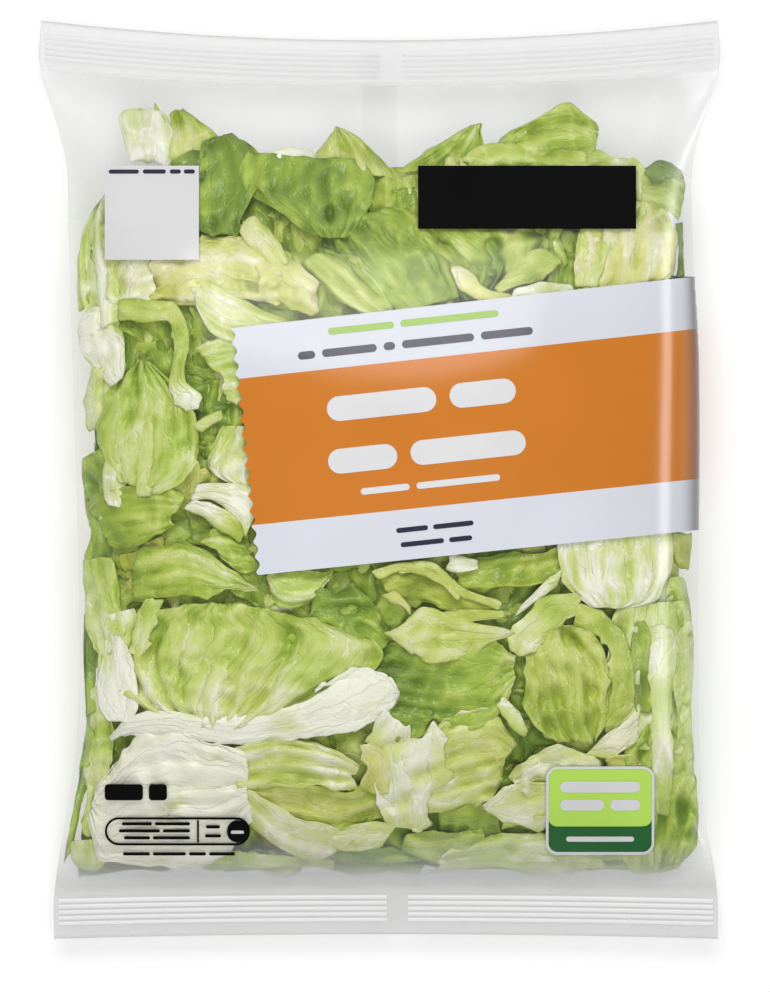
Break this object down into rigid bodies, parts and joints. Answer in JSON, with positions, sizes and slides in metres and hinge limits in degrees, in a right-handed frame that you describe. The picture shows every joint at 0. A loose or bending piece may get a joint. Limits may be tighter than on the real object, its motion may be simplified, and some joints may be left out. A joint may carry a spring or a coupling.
{
  "type": "bag of salad leaves",
  "caption": "Clear film pillow bag filled with cut salad leaves, with a crimped seal at each end, a fin seam down the back and a wide printed band.",
  "frame": {"origin": "on the floor, under the middle of the bag as it lies on its back", "axes": "+Z out of the printed front, +Y towards the top seal, +X to the right of the print"},
  "size_m": [0.2366, 0.3194, 0.0666],
  "materials": {
    "film": "clear glossy film, milky where it is sealed",
    "leaves": "moist crinkled lettuce leaf, from white rib to green edge",
    "print": "opaque printed ink under gloss"
  },
  "bodies": {
    "root": {"salad_bag": "film"}
  },
  "joints": []
}
